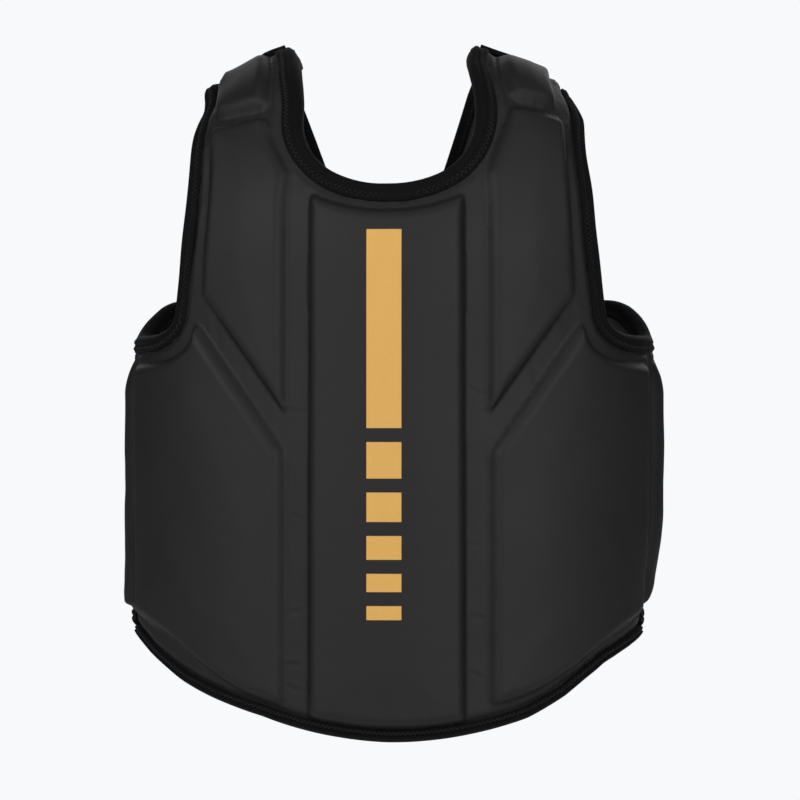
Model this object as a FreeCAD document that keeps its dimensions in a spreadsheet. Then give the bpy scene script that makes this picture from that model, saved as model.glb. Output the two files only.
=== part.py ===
"""Chest protector for martial arts and boxing training: a padded front panel that wraps the chest,
two side wings, a Y-shaped back yoke and a hook-and-loop closure on the yoke's tail.

Millimetres. X runs across the chest, the front faces -Y and Z is up. The origin is on the torso's
centre axis at the level of the lowest point of the hem. Every layer follows one torso surface, an
elliptic wall under a half-ellipsoid dome, and is measured outwards from the wearer's chest. Right is
+X, as someone facing the protector sees it.
"""
import FreeCAD, Part

import math
import os

import Sketcher

DIMENSIONS = {
    # the torso surface that the lining lies on
    "torso_half_width": 184.5,
    "torso_half_depth": 103.0,
    "dome_base_height": 341.0,
    "dome_rise": 163.6,
    # layers, as distances outwards from the torso surface
    "lining_face": 1.5,
    "core_face": 9.0,
    "skin_face": 10.2,
    "pad_foam_face": 16.8,
    "pad_skin_face": 18.0,
    "yoke_foam_face": 5.0,
    "yoke_skin_face": 6.2,
    "loop_face": 8.0,
    "hook_back_face": 8.3,
    "hook_face": 9.5,
    "grip_face": 11.2,
    "belt_back_face": 7.8,
    "belt_face": 10.8,
    # woven edge tape
    "tape_thickness": 1.2,
    "tape_width": 12.0,
    "hem_tape_width": 7.0,
    "hem_border": 14.0,
    # front panel outline
    "hem_radius": 280.0,
    "panel_reach": 205.0,
    "panel_top": 530.0,
    "armhole_floor": 290.0,
    "armhole_floor_reach": 179.6,
    "armhole_corner_radius": 26.0,
    "armhole_side": 153.7,
    "armhole_side_height": 313.6,
    "armhole_top": 133.2,
    "neck_floor": 396.5,
    "neck_radius": 80.0,
    "neck_arc_reach": 42.0,
    "neck_corner_radius": 48.0,
    "neck_top": 62.5,
    # front panel limits, front to back
    "side_seam": -22.0,
    "side_seam_top": 345.0,
    "shoulder_seam": 2.0,
    "seam_gap": 0.6,
    "seam_margin": 8.0,
    "shoulder_margin": 3.0,
    # where one edge tape ends and the next begins
    "shoulder_middle": 104.0,
    "hem_tape_top": 128.0,
    # raised pads of the front panel
    "centre_pad_half_width": 55.5,
    "centre_pad_shoulder": 393.0,
    "centre_pad_neck_radius": 123.0,
    "chest_pad_top_inner": 85.0,
    "chest_pad_top_inner_height": 450.0,
    "chest_pad_top_outer": 124.8,
    "chest_pad_top_outer_height": 441.5,
    "chest_pad_side": 131.2,
    "chest_pad_side_height": 319.5,
    "chest_pad_tip": 69.4,
    "chest_pad_tip_height": 229.8,
    "chest_pad_neck": 66.5,
    "chest_pad_neck_height": 407.0,
    "chest_pad_bend": 80.0,
    "chest_pad_bend_height": 431.0,
    "rib_pad_inner": 70.4,
    "rib_pad_inner_height": 208.0,
    "rib_pad_peak": 135.0,
    "rib_pad_peak_height": 303.0,
    "rib_pad_arc_radius": 42.0,
    "rib_pad_shoulder": 172.0,
    "rib_pad_top": 272.0,
    "shoulder_pad_inner": 84.2,
    "shoulder_pad_inner_height": 456.5,
    "shoulder_pad_outer": 122.5,
    "shoulder_pad_outer_height": 449.0,
    "shoulder_pad_ridge_inner": 76.0,
    "shoulder_pad_ridge_outer": 100.0,
    # side wings, seen from the side
    "wing_hem_front": 72.5,
    "wing_hem_middle": 80.0,
    "wing_hem_middle_depth": 30.0,
    "wing_hem_rear": 112.0,
    "wing_hem_rear_depth": 82.0,
    "wing_end_depth": 104.0,
    "wing_end_bottom": 168.0,
    "wing_end_top": 284.0,
    "wing_top_rear": 319.0,
    "wing_top_rear_depth": 86.0,
    "wing_top_crest_depth": 34.0,
    "wing_top_rise_depth": 3.0,
    "wing_end": 92.0,
    "wing_pad_bottom": 87.0,
    "wing_pad_depth": 62.0,
    "wing_pad_rear_bottom": 128.0,
    "wing_pad_rear_top": 258.0,
    "wing_pad_top": 275.0,
    "wing_pad_corner": 16.0,
    # back yoke
    "yoke_neck": 85.0,
    "yoke_shoulder": 152.0,
    "yoke_crotch": 10.0,
    "yoke_crotch_height": 317.0,
    "yoke_crotch_radius": 11.0,
    "tail_half_width": 42.0,
    "tail_top": 285.0,
    "tail_bottom": 150.0,
    "yoke_tape_width": 9.0,
    "loop_half_width": 32.0,
    "loop_bottom": 164.0,
    "loop_top": 286.0,
    # closure belts and tabs
    "belt_bottom": 176.0,
    "belt_top": 276.0,
    "belt_end": 45.3,
    "tab_root": 44.4,
    "tab_end": 4.0,
    "hook_root": 32.0,
    "hook_end": 7.0,
    "hook_edge": 6.0,
}

FACETS_AROUND = 40
DOME_ANGLES = (16, 32, 47, 60, 73)
CUT_REACH = 300.0
FLOOR = -30.0

doc = FreeCAD.newDocument("chest_protector")
sheet = doc.addObject("Spreadsheet::Sheet", "dims")
for row, (alias, number) in enumerate(DIMENSIONS.items(), start=1):
    sheet.set(f"A{row}", alias)
    sheet.set(f"B{row}", str(number))
    sheet.setAlias(f"B{row}", alias)
doc.recompute()


def size(alias):
    """Value of a named cell, for geometry that no expression can reach."""
    return float(sheet.get(alias))


# ---------------------------------------------------------------- torso layers

def torso_ring(offset, angle, height):
    """Corner points of one level ring of the torso surface, grown outwards by offset."""
    shrink = math.cos(math.radians(angle))
    half_width = (size("torso_half_width") + offset) * shrink
    half_depth = (size("torso_half_depth") + offset) * shrink
    points = []
    for step in range(FACETS_AROUND):
        turn = 2 * math.pi * step / FACETS_AROUND
        points.append(FreeCAD.Vector(half_width * math.cos(turn), half_depth * math.sin(turn), height))
    return points


def torso_envelope(name, offset):
    """Closed solid of the torso surface grown outwards by offset, in flat facets."""
    base = size("dome_base_height")
    rise = size("dome_rise") + offset
    rings = [torso_ring(offset, 0, FLOOR), torso_ring(offset, 0, base)]
    for angle in DOME_ANGLES:
        rings.append(torso_ring(offset, angle, base + rise * math.sin(math.radians(angle))))
    faces = [Part.Face(Part.makePolygon(ring + ring[:1])) for ring in (rings[0], rings[-1])]
    for lower, upper in zip(rings, rings[1:]):
        for step in range(FACETS_AROUND):
            after = (step + 1) % FACETS_AROUND
            corners = [lower[step], lower[after], upper[after], upper[step], lower[step]]
            faces.append(Part.Face(Part.makePolygon(corners)))
    envelope = doc.addObject("Part::Feature", name)
    envelope.Shape = Part.Solid(Part.Shell(faces))
    return envelope


envelopes = {}


def envelope_at(offset):
    """The torso envelope at an offset, made once."""
    key = round(offset, 3)
    if key not in envelopes:
        envelopes[key] = torso_envelope(f"envelope_{len(envelopes)}", offset)
    return envelopes[key]


def boolean(kind, name, base, tool):
    """Part boolean of two objects."""
    result = doc.addObject(kind, name)
    result.Base = base
    result.Tool = tool
    return result


def cut(name, base, tool):
    return boolean("Part::Cut", name, base, tool)


def common(name, base, tool):
    return boolean("Part::Common", name, base, tool)


def fuse(name, base, tool):
    return boolean("Part::Fuse", name, base, tool)


def layer(name, inner, outer):
    """Shell between two offsets of the torso surface."""
    return cut(name, envelope_at(outer), envelope_at(inner))


# ---------------------------------------------------------------- outlines

def arc_geometry(start, end, radius, bulge):
    """Arc of a circle from start to end; bulge is 1 when it passes to the right of the chord."""
    chord = end - start
    normal = FreeCAD.Vector(-chord.y, chord.x, 0).normalize()
    rise = math.sqrt(radius ** 2 - (chord.Length / 2) ** 2)
    centre = (start + end) / 2 + normal * rise * bulge
    first, last = (start, end) if bulge > 0 else (end, start)
    first_angle = math.atan2(first.y - centre.y, first.x - centre.x)
    last_angle = math.atan2(last.y - centre.y, last.x - centre.x)
    circle = Part.Circle(centre, FreeCAD.Vector(0, 0, 1), radius)
    return Part.ArcOfCircle(circle, first_angle, last_angle)


def outline_sketch(owner, name, plane, corners, arcs):
    """Closed outline whose corners are pairs of expressions; arcs maps a corner to (radius, bulge)."""
    sketch = owner.newObject("Sketcher::SketchObject", name)
    for feature in owner.Origin.OriginFeatures:
        if feature.Role == plane:
            sketch.AttachmentSupport = [(feature, "")]
    sketch.MapMode = "FlatFace"
    places = []
    for across, up in corners:
        across_value = owner.evalExpression(across)
        up_value = owner.evalExpression(up)
        places.append(FreeCAD.Vector(float(across_value), float(up_value), 0))
    ends = []
    for index, start in enumerate(places):
        end = places[(index + 1) % len(places)]
        if index in arcs:
            radius, bulge = arcs[index]
            edge = sketch.addGeometry(arc_geometry(start, end, size(radius), bulge))
            ends.append((edge, 1, 2) if bulge > 0 else (edge, 2, 1))
        else:
            edge = sketch.addGeometry(Part.LineSegment(start, end))
            ends.append((edge, 1, 2))
    for index, (edge, _, end_point) in enumerate(ends):
        next_edge, next_start, _ = ends[(index + 1) % len(ends)]
        sketch.addConstraint(Sketcher.Constraint("Coincident", edge, end_point, next_edge, next_start))
    for index, (across, up) in enumerate(corners):
        edge, start_point, _ = ends[index]
        for kind, value, text in (("DistanceX", places[index].x, across), ("DistanceY", places[index].y, up)):
            number = sketch.addConstraint(Sketcher.Constraint(kind, -1, 1, edge, start_point, value))
            sketch.setExpression(f"Constraints[{number}]", text)
    for index, (radius, _) in arcs.items():
        number = sketch.addConstraint(Sketcher.Constraint("Radius", ends[index][0], size(radius)))
        sketch.setExpression(f"Constraints[{number}]", f"dims.{radius}")
    return sketch


def mirrored_outline(corners, arcs):
    """Both halves of an outline given for +X from its centre line, with centre arcs kept once."""
    count = len(corners)
    left = [(f"-({across})", up) for across, up in reversed(corners)]
    left_arcs = {2 * count - 2 - index: arc for index, arc in arcs.items() if index < count - 1}
    return corners + left, {**arcs, **left_arcs}


def prism(name, plane, corners, arcs=None):
    """Outline on a base plane, padded equally to both sides."""
    body = doc.addObject("PartDesign::Body", name)
    sketch = outline_sketch(body, f"{name}_outline", plane, corners, arcs or {})
    pad = body.newObject("PartDesign::Pad", f"{name}_pad")
    pad.Profile = sketch
    pad.Length = 2 * CUT_REACH
    pad.Midplane = True
    return body


def resized_prism(name, body, distance):
    """Prism of a body's outline, grown by distance, or shrunk where distance starts with a minus."""
    sketch = body.Group[0]
    resized = doc.addObject("Part::Offset2D", f"{name}_outline")
    resized.Source = sketch
    resized.Join = "Intersection"
    resized.setExpression("Value", distance)
    solid = doc.addObject("Part::Extrusion", name)
    solid.Base = resized
    solid.DirMode = "Normal"
    solid.Solid = True
    solid.Symmetric = True
    solid.LengthFwd = 2 * CUT_REACH
    return solid


def slab(name, across, depth, up):
    """Box between pairs of expressions along X, Y and Z."""
    box = doc.addObject("Part::Box", name)
    for side, axis, (low, high) in zip(("Length", "Width", "Height"), "xyz", (across, depth, up)):
        box.setExpression(f".Placement.Base.{axis}", low)
        box.setExpression(side, f"({high}) - ({low})")
    return box


def cells(*names):
    """Corners of an outline from pairs of cell names."""
    texts = [f"dims.{name}" for name in names]
    return list(zip(texts[::2], texts[1::2]))


REACH = str(CUT_REACH)
ABOVE = "2 * " + REACH

nodes = []


def node(name, shape):
    """Keep an object as a sub-part under its own name."""
    shape.Label = name
    nodes.append(shape)
    return shape


def node_pair(name, right_shape):
    """Keep a right-hand sub-part and its mirror image on the left."""
    node(f"right_{name}", right_shape)
    left = doc.addObject("Part::Mirroring", f"left_{name}_mirror")
    left.Source = right_shape
    left.Normal = (1, 0, 0)
    node(f"left_{name}", left)


lining_layer = layer("lining_layer", 0, size("lining_face"))
core_layer = layer("core_layer", size("lining_face"), size("core_face"))
skin_layer = layer("skin_layer", size("core_face"), size("skin_face"))
pad_foam_layer = layer("pad_foam_layer", size("core_face"), size("pad_foam_face"))
pad_skin_layer = layer("pad_skin_layer", size("core_face"), size("pad_skin_face"))
panel_layer = layer("panel_layer", 0, size("skin_face"))
tape_layer = layer("tape_layer", -size("tape_thickness"), size("skin_face") + size("tape_thickness"))


def padded_skin(name, panel, pockets):
    """Cover sheet over a panel with a raised pocket over each pad; pockets pairs prism and hollow."""
    cover = common(f"{name}_sheet", skin_layer, panel)
    for index, (pocket, hollow) in enumerate(pockets):
        raised = common(f"{name}_raised_{index}", pad_skin_layer, pocket)
        joined = fuse(f"{name}_joined_{index}", cover, raised)
        cover = cut(f"{name}_hollowed_{index}", joined, hollow)
    return cover


def tape(name, grown, shrunk, limit, panel_solid, shell):
    """Folded edge tape: the band between two outlines, inside a limit, less the panel it grips."""
    band = cut(f"{name}_band", grown, shrunk)
    bounded = common(f"{name}_bounded", band, limit)
    folded = common(f"{name}_folded", shell, bounded)
    return cut(name, folded, panel_solid)


# ---------------------------------------------------------------- front panel

HEM_SIDE = "dims.hem_radius - sqrt(dims.hem_radius ^ 2 - dims.panel_reach ^ 2)"
# the neck's shallow floor arc runs smoothly into a tighter corner arc that ends upright
NECK_CENTRE = "dims.neck_floor + dims.neck_radius"
NECK_DROP = "sqrt(dims.neck_radius ^ 2 - dims.neck_arc_reach ^ 2)"
NECK_SHARE = "(1 - dims.neck_corner_radius / dims.neck_radius)"
NECK_CORNER = (f"dims.neck_arc_reach * {NECK_SHARE} + dims.neck_corner_radius",
               f"{NECK_CENTRE} - {NECK_DROP} * {NECK_SHARE}")
panel_corners = [("dims.panel_reach", HEM_SIDE)] + cells(
    "panel_reach", "armhole_floor",
    "armhole_floor_reach", "armhole_floor",
    "armhole_side", "armhole_side_height",
    "armhole_top", "panel_top",
    "neck_top", "panel_top",
) + [NECK_CORNER, ("dims.neck_arc_reach", f"{NECK_CENTRE} - {NECK_DROP}")]
panel_arcs = {
    2: ("armhole_corner_radius", -1),
    6: ("neck_corner_radius", -1),
    7: ("neck_radius", -1),
    15: ("hem_radius", 1),
}
panel_outline = prism("panel_cut", "XZ_Plane", *mirrored_outline(panel_corners, panel_arcs))

front_side = prism("front_side", "YZ_Plane", [
    ("-" + REACH, str(FLOOR)),
    ("dims.side_seam", str(FLOOR)),
    ("dims.side_seam", "dims.side_seam_top"),
    ("dims.shoulder_seam", "dims.side_seam_top"),
    ("dims.shoulder_seam", ABOVE),
    ("-" + REACH, ABOVE),
])
front_panel = common("front_panel", panel_outline, front_side)
panel_grown = resized_prism("panel_grown", panel_outline, "dims.tape_thickness")
panel_inside_tape = resized_prism("panel_inside_tape", panel_outline, "-dims.tape_width")
panel_inside_hem = resized_prism("panel_inside_hem", panel_outline, "-dims.hem_tape_width")
panel_inside_border = resized_prism("panel_inside_border", panel_outline, "-dims.hem_border")

node("front_lining", common("front_lining_cut", lining_layer, front_panel))
node("front_core_foam", common("front_core_cut", core_layer, front_panel))

pad_side = prism("pad_side", "YZ_Plane", [
    ("-" + REACH, str(FLOOR)),
    ("dims.side_seam - dims.seam_margin", str(FLOOR)),
    ("dims.side_seam - dims.seam_margin", "dims.side_seam_top"),
    ("dims.shoulder_seam - dims.shoulder_margin", "dims.side_seam_top"),
    ("dims.shoulder_seam - dims.shoulder_margin", ABOVE),
    ("-" + REACH, ABOVE),
])

centre_outline = prism("centre_pad_cut", "XZ_Plane", *mirrored_outline(
    [("dims.centre_pad_half_width", str(FLOOR)),
     ("dims.centre_pad_half_width", "dims.centre_pad_shoulder")],
    {1: ("centre_pad_neck_radius", -1)},
))
chest_outline = prism("chest_pad_cut", "XZ_Plane", cells(
    "chest_pad_tip", "chest_pad_tip_height",
    "chest_pad_side", "chest_pad_side_height",
    "chest_pad_top_outer", "chest_pad_top_outer_height",
    "chest_pad_top_inner", "chest_pad_top_inner_height",
    "chest_pad_bend", "chest_pad_bend_height",
    "chest_pad_neck", "chest_pad_neck_height",
))
rib_outline = prism("rib_pad_cut", "XZ_Plane", [("dims.rib_pad_inner", str(FLOOR)),
                                                ("dims.panel_reach", str(FLOOR))] + cells(
    "panel_reach", "rib_pad_top",
    "rib_pad_shoulder", "rib_pad_top",
    "rib_pad_peak", "rib_pad_peak_height",
    "rib_pad_inner", "rib_pad_inner_height",
), {3: ("rib_pad_arc_radius", -1)})
shoulder_outline = prism("shoulder_pad_cut", "XZ_Plane", cells(
    "shoulder_pad_inner", "shoulder_pad_inner_height",
    "shoulder_pad_outer", "shoulder_pad_outer_height",
    "shoulder_pad_ridge_outer", "panel_top",
    "shoulder_pad_ridge_inner", "panel_top",
))


def pad_pocket(name, outline, limits):
    """Raised pocket of the cover, as a prism, and the foam insert that fills it."""
    hollow = resized_prism(f"{name}_hollow", outline, "-dims.tape_thickness")
    pocket, inside = outline, hollow
    for index, (outer_limit, inner_limit) in enumerate(limits):
        pocket = common(f"{name}_pocket_{index}", pocket, outer_limit)
        inside = common(f"{name}_inside_{index}", inside, inner_limit)
    return pocket, common(f"{name}_foam_cut", pad_foam_layer, inside)


def mirrored_pocket(name, pocket, foam):
    """The same pocket and insert on the left."""
    copies = []
    for kind, shape in (("pocket", pocket), ("foam", foam)):
        copy = doc.addObject("Part::Mirroring", f"{name}_left_{kind}")
        copy.Source = shape
        copy.Normal = (1, 0, 0)
        copies.append(copy)
    return tuple(copies)


pad_side_inside = prism("pad_side_inside", "YZ_Plane", [
    ("-" + REACH, str(FLOOR)),
    ("dims.side_seam - dims.seam_margin - dims.tape_thickness", str(FLOOR)),
    ("dims.side_seam - dims.seam_margin - dims.tape_thickness", "dims.side_seam_top"),
    ("dims.shoulder_seam - dims.shoulder_margin - dims.tape_thickness", "dims.side_seam_top"),
    ("dims.shoulder_seam - dims.shoulder_margin - dims.tape_thickness", ABOVE),
    ("-" + REACH, ABOVE),
])
hem_wall = resized_prism("hem_wall", panel_outline, "-(dims.hem_tape_width + dims.tape_thickness)")
border_wall = resized_prism("border_wall", panel_outline, "-(dims.hem_border + dims.tape_thickness)")
seam_limit = (pad_side, pad_side_inside)

pockets = [pad_pocket("centre_pad", centre_outline, [(panel_inside_hem, hem_wall), seam_limit])]
node("centre_pad_foam", pockets[0][1])
for pad_name, outline, limits in (
    ("chest_pad", chest_outline, [seam_limit]),
    ("rib_pad", rib_outline, [(panel_inside_border, border_wall), seam_limit]),
    ("shoulder_pad", shoulder_outline, [seam_limit]),
):
    pocket, foam = pad_pocket(pad_name, outline, limits)
    left_pocket, left_foam = mirrored_pocket(pad_name, pocket, foam)
    pockets += [(pocket, foam), (left_pocket, left_foam)]
    node(f"right_{pad_name}_foam", foam)
    node(f"left_{pad_name}_foam", left_foam)

node("front_skin", padded_skin("front_skin_cut", front_panel, pockets))

panel_solid = common("panel_solid", panel_layer, front_panel)
tape_shell = common("front_tape_shell", tape_layer, front_side)
neck_zone = slab("neck_zone", ("-dims.shoulder_middle", "dims.shoulder_middle"), ("-" + REACH, REACH),
                 ("dims.side_seam_top", ABOVE))
arm_zone = slab("arm_zone", ("dims.shoulder_middle", REACH), ("-" + REACH, REACH),
                ("dims.rib_pad_top", ABOVE))
hem_zone = slab("hem_zone", ("-" + REACH, REACH), ("-" + REACH, REACH),
                (str(FLOOR), "dims.hem_tape_top"))
node("neck_binding", tape("neck_tape", panel_grown, panel_inside_tape, neck_zone, panel_solid, tape_shell))
node_pair("armhole_binding",
          tape("arm_tape", panel_grown, panel_inside_tape, arm_zone, panel_solid, tape_shell))
node("hem_binding", tape("hem_tape", panel_grown, panel_inside_hem, hem_zone, panel_solid, tape_shell))

# ---------------------------------------------------------------- side wings

WING_FRONT = "dims.side_seam + dims.seam_gap"
wing_outline = prism("wing_cut", "YZ_Plane", [("dims.side_seam - 2 * dims.tape_width", "dims.wing_hem_front"),
                                              (WING_FRONT, "dims.wing_hem_front")] + cells(
    "wing_hem_middle_depth", "wing_hem_middle",
    "wing_hem_rear_depth", "wing_hem_rear",
    "wing_end_depth", "wing_end_bottom",
    "wing_end_depth", "wing_end_top",
    "wing_top_rear_depth", "wing_top_rear",
    "wing_top_crest_depth", "wing_top_rear",
    "wing_top_rise_depth", "armhole_floor",
) + [("dims.side_seam - 2 * dims.tape_width", "dims.armhole_floor")])
wing_zone = slab("wing_zone", ("dims.wing_end", REACH), (WING_FRONT, REACH), (str(FLOOR), ABOVE))
wing_panel = common("wing_panel", wing_outline, wing_zone)
node_pair("wing_lining", common("wing_lining_cut", lining_layer, wing_panel))
node_pair("wing_core_foam", common("wing_core_cut", core_layer, wing_panel))

wing_pad_outline = prism("wing_pad_cut", "YZ_Plane", [
    (f"{WING_FRONT} + dims.seam_margin", "dims.wing_pad_bottom"),
    ("dims.wing_pad_depth - dims.wing_pad_corner", "dims.wing_pad_bottom + dims.wing_pad_corner"),
    ("dims.wing_pad_depth", "dims.wing_pad_rear_bottom"),
    ("dims.wing_pad_depth", "dims.wing_pad_rear_top"),
    ("dims.wing_pad_depth - dims.wing_pad_corner", "dims.wing_pad_top"),
    (f"{WING_FRONT} + dims.seam_margin", "dims.wing_pad_top"),
])
wing_pocket, wing_foam = pad_pocket("wing_pad", wing_pad_outline, [(wing_zone, wing_zone)])
node_pair("wing_pad_foam", wing_foam)
node_pair("wing_skin", padded_skin("wing_skin_cut", wing_panel, [(wing_pocket, wing_foam)]))

wing_grown = resized_prism("wing_grown", wing_outline, "dims.tape_thickness")
wing_inside = resized_prism("wing_inside", wing_outline, "-dims.tape_width")
wing_inside_end = slab("wing_inside_end", ("dims.wing_end + dims.tape_width", REACH),
                       ("-" + REACH, REACH), (str(FLOOR), ABOVE))
wing_inside_tape = common("wing_inside_tape", wing_inside, wing_inside_end)
wing_tape_zone = slab("wing_tape_zone", ("dims.wing_end - dims.tape_thickness", REACH),
                      (WING_FRONT, REACH), (str(FLOOR), ABOVE))
wing_solid = common("wing_solid", panel_layer, wing_panel)
node_pair("wing_binding",
          tape("wing_tape", wing_grown, wing_inside_tape, wing_tape_zone, wing_solid, tape_layer))

belt_layer = layer("belt_layer", size("belt_back_face"), size("belt_face"))
belt_zone = slab("belt_zone", ("dims.belt_end", "dims.wing_end - dims.tape_thickness"),
                 ("0", REACH), ("dims.belt_bottom", "dims.belt_top"))
node_pair("elastic_belt", common("belt_cut", belt_layer, belt_zone))

hook_layer = layer("hook_layer", size("hook_back_face"), size("hook_face"))
hook_zone = slab("hook_zone", ("dims.hook_end", "dims.hook_root"), ("0", REACH),
                 ("dims.belt_bottom + dims.hook_edge", "dims.belt_top - dims.hook_edge"))
node_pair("hook_patch", common("hook_cut", hook_layer, hook_zone))
grip_layer = layer("grip_layer", size("hook_face"), size("grip_face"))
grip_zone = slab("grip_zone", ("dims.tab_end", "dims.tab_root"), ("0", REACH),
                 ("dims.belt_bottom", "dims.belt_top"))
node_pair("closure_tab", common("grip_cut", grip_layer, grip_zone))

# ---------------------------------------------------------------- back yoke

yoke_outline = prism("yoke_cut", "XZ_Plane", *mirrored_outline(cells(
    "tail_half_width", "tail_bottom",
    "tail_half_width", "tail_top",
    "yoke_shoulder", "panel_top",
    "yoke_neck", "panel_top",
    "yoke_crotch", "yoke_crotch_height",
), {4: ("yoke_crotch_radius", -1)}))
back_zone = slab("back_zone", ("-" + REACH, REACH), ("dims.shoulder_seam + dims.seam_gap", REACH),
                 (str(FLOOR), ABOVE))
yoke_panel = common("yoke_panel", yoke_outline, back_zone)
yoke_foam_layer = layer("yoke_foam_layer", size("lining_face"), size("yoke_foam_face"))
yoke_skin_layer = layer("yoke_skin_layer", size("yoke_foam_face"), size("yoke_skin_face"))
yoke_layer = layer("yoke_layer", 0, size("yoke_skin_face"))
yoke_tape_layer = layer("yoke_tape_layer", -size("tape_thickness"),
                        size("yoke_skin_face") + size("tape_thickness"))
node("yoke_lining", common("yoke_lining_cut", lining_layer, yoke_panel))
node("yoke_foam", common("yoke_foam_cut", yoke_foam_layer, yoke_panel))
node("yoke_skin", common("yoke_skin_cut", yoke_skin_layer, yoke_panel))
yoke_grown = resized_prism("yoke_grown", yoke_outline, "dims.tape_thickness")
yoke_inside = resized_prism("yoke_inside", yoke_outline, "-dims.yoke_tape_width")
yoke_solid = common("yoke_solid", yoke_layer, yoke_panel)
node("yoke_binding", tape("yoke_tape", yoke_grown, yoke_inside, back_zone, yoke_solid, yoke_tape_layer))
loop_layer = layer("loop_layer", size("yoke_skin_face"), size("loop_face"))
loop_zone = slab("loop_zone", ("-dims.loop_half_width", "dims.loop_half_width"), ("0", REACH),
                 ("dims.loop_bottom", "dims.loop_top"))
node("loop_field", common("loop_cut", loop_layer, loop_zone))

# ---------------------------------------------------------------- build and export

doc.recompute()
failed = [item.Name for item in doc.Objects if "Invalid" in item.State or "Error" in item.State]
if failed:
    raise RuntimeError(f"objects that failed: {failed}")
for item in nodes:
    if item.Shape.isNull() or not item.Shape.isValid() or not item.Shape.Solids:
        raise RuntimeError(f"{item.Label} has no valid solid")

os.makedirs("parts", exist_ok=True)
for item in nodes:
    item.Shape.exportStep(f"parts/{item.Label}.step")
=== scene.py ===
"""Looks of a black leather chest protector: moulded leather over foam, woven edge tape with stitching,
a cloth lining, a Y-shaped back yoke, elastic belts and hook-and-loop tabs. In metres."""

import math

import bpy
import numpy as np
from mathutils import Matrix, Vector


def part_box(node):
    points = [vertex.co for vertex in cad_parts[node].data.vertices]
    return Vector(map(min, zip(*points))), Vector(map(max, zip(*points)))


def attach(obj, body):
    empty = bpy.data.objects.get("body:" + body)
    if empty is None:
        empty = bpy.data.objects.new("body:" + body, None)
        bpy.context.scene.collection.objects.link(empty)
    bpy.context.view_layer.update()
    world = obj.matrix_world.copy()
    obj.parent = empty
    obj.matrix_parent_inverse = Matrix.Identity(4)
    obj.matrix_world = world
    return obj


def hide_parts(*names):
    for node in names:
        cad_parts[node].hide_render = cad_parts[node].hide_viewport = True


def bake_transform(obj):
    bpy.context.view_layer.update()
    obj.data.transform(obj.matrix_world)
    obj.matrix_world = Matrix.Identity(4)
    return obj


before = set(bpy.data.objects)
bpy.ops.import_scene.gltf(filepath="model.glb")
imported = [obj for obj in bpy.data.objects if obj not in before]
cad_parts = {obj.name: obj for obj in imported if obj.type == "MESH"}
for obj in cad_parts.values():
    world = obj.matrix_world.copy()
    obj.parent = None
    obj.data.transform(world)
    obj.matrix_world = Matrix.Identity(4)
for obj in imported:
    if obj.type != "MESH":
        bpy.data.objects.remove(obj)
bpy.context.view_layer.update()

MM = 0.001
TAU = 2 * math.pi
SIDES = {"right": 1, "left": -1}

# ---------------------------------------------------------------- sizes

# offsets from the wearer's chest, and how far a pad stands above the flats
LINING = 1.5 * MM
SKIN = 10.2 * MM
YOKE_SKIN = 6.2 * MM
PAD_RISE = 7.6 * MM

HALF_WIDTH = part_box("right_wing_lining")[1][0] - LINING
HALF_DEPTH = -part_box("front_lining")[0][1] - LINING
DOME_BASE = 341 * MM
DOME_RISE = 163.6 * MM
SIDE_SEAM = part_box("right_wing_lining")[0][1] - 0.3 * MM
SHOULDER_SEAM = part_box("front_core_foam")[1][1]
SEAM_TURN_HEIGHT = 345 * MM
RIM = 5 * MM


# ---------------------------------------------------------------- the torso surface

def smooth(value, low, high):
    """0 below low, 1 above high and a soft change between."""
    part = np.clip((value - low) / (high - low), 0, 1)
    return part * part * (3 - 2 * part)


def lean(x, y, z):
    """Sideways shift of the neck's edges and of the yoke, which hang a little to one side."""
    rear = smooth(y, 2 * MM, 50 * MM)
    neck = smooth(z, 455 * MM, 510 * MM) * (1 - smooth(np.abs(x), 80 * MM, 115 * MM))
    yoke = smooth(z, 300 * MM, 400 * MM)
    return -8 * MM * neck * (1 - rear) - 10 * MM * yoke * rear


def upright(points):
    """Points with the sideways shift taken out again."""
    x, y, z = points[:, 0], points[:, 1], points[:, 2]
    straight = x - lean(x - lean(x, y, z), y, z)
    return np.stack([straight, y, z], axis=1)


BULGES = [
    # place, radius and height, all in millimetres: where the worn shape leaves the plain torso
    ((-131, 0, 469), 17, 12.0),
    ((-103, 0, 488), 20, 3.0),
    ((120, 0, 478), 13, 5.5),
    ((-140, -45, 425), 28, 3.2),
    ((140, -45, 425), 28, -2.0),
    ((190, 0, 92), 42, -8.0),
    ((-188, 0, 60), 30, 3.0),
]


def bulge(x, y, z):
    """Extra offset of the torso surface at a place."""
    total = np.zeros(np.shape(x))
    for (across, depth, height), radius, rise in BULGES:
        gap = (x - across * MM) ** 2 + (y - depth * MM) ** 2 + (z - height * MM) ** 2
        total += rise * MM * np.exp(-gap / (radius * MM) ** 2)
    return total


def settle(points, offset):
    """Rough points near the torso, moved onto its surface at an offset from the wearer's chest."""
    x, y, z = upright(points).T
    offset = offset + bulge(x, y, z)
    climb = np.clip(z - DOME_BASE, 0, None)
    east = x / (HALF_WIDTH + RIM)
    south = y / (HALF_DEPTH + RIM)
    up = climb / (DOME_RISE + RIM)
    length = np.sqrt(east ** 2 + south ** 2 + up ** 2)
    east, south, up = east / length, south / length, up / length
    height = np.where(climb > 0, DOME_BASE + (DOME_RISE + offset) * up, z)
    width, depth = (HALF_WIDTH + offset) * east, (HALF_DEPTH + offset) * south
    return np.stack([width + lean(width, depth, height), depth, height], axis=1)


def surface_normal(points):
    """Outward direction of the torso surface at points on it."""
    climb = np.clip(points[:, 2] - DOME_BASE, 0, None)
    steep = np.stack([points[:, 0] / (HALF_WIDTH + RIM) ** 2,
                      points[:, 1] / (HALF_DEPTH + RIM) ** 2,
                      climb / (DOME_RISE + RIM) ** 2], axis=1)
    return steep / np.linalg.norm(steep, axis=1, keepdims=True)


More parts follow.
